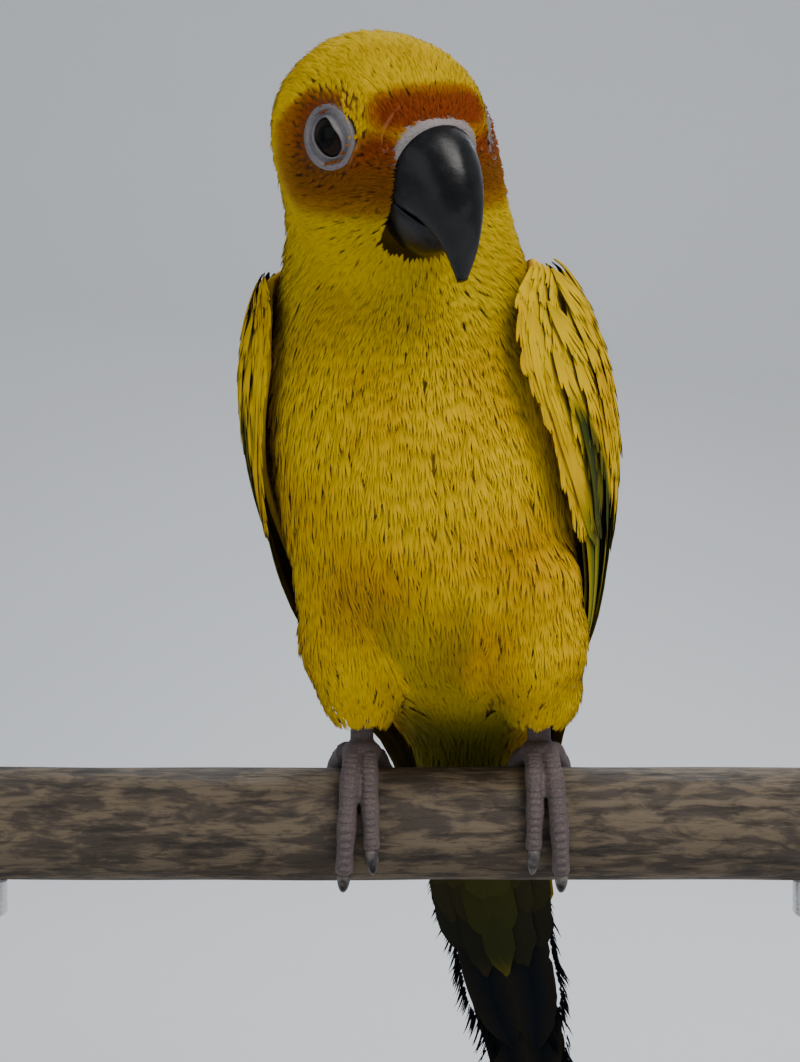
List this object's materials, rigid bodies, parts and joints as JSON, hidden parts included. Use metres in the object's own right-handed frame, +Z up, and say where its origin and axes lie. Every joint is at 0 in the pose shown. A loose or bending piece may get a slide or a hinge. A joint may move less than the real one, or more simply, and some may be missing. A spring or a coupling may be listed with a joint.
{
  "type": "sun conure display model",
  "caption": "Life-size still model of a sun conure gripping a cut length of wooden perch, held over a flat base by a plain display stand with rods.",
  "frame": {"origin": "centre of the underside of the stand's flat base, on the surface that it stands on", "axes": "+Z up; -Y is the way the perched bird faces, its head turned a little to its own left; +X is the bird's left, along the perch"},
  "size_m": [0.172, 0.128, 0.2556],
  "materials": {
    "body_feathers": "matte feathers, bright yellow with golden and orange tinges",
    "head_feathers": "matte feathers, golden crown, orange-red face",
    "wing_feathers": "matte feathers, yellow coverts, green and blue-black flight feathers",
    "tail_feathers": "matte feathers, blackish below, olive green above",
    "foot_skin": "matte, wrinkled and scaled",
    "claw": "satin horn",
    "beak": "satin horn, black",
    "cere": "matte bare skin, whitish",
    "eye": "glossy",
    "perch_wood": "weathered, matte",
    "base_wood": "stained, satin",
    "stand_steel": "brushed"
  },
  "bodies": {
    "root": {"torso": "body_feathers", "neck": "body_feathers", "head": "head_feathers", "eye_left": "eye", "eye_right": "eye", "beak_upper": "beak", "beak_lower": "beak", "cere": "cere", "thigh_left": "body_feathers", "thigh_right": "body_feathers", "wing_left": "wing_feathers", "wing_right": "wing_feathers", "tail": "tail_feathers", "foot_left": "foot_skin", "foot_right": "foot_skin", "claw_inner_front_left": "claw", "claw_outer_front_left": "claw", "claw_inner_back_left": "claw", "claw_outer_back_left": "claw", "claw_inner_front_right": "claw", "claw_outer_front_right": "claw", "claw_inner_back_right": "claw", "claw_outer_back_right": "claw", "perch": "perch_wood", "stand_base": "base_wood", "stand_rod_left": "stand_steel", "stand_rod_right": "stand_steel"}
  },
  "joints": []
}
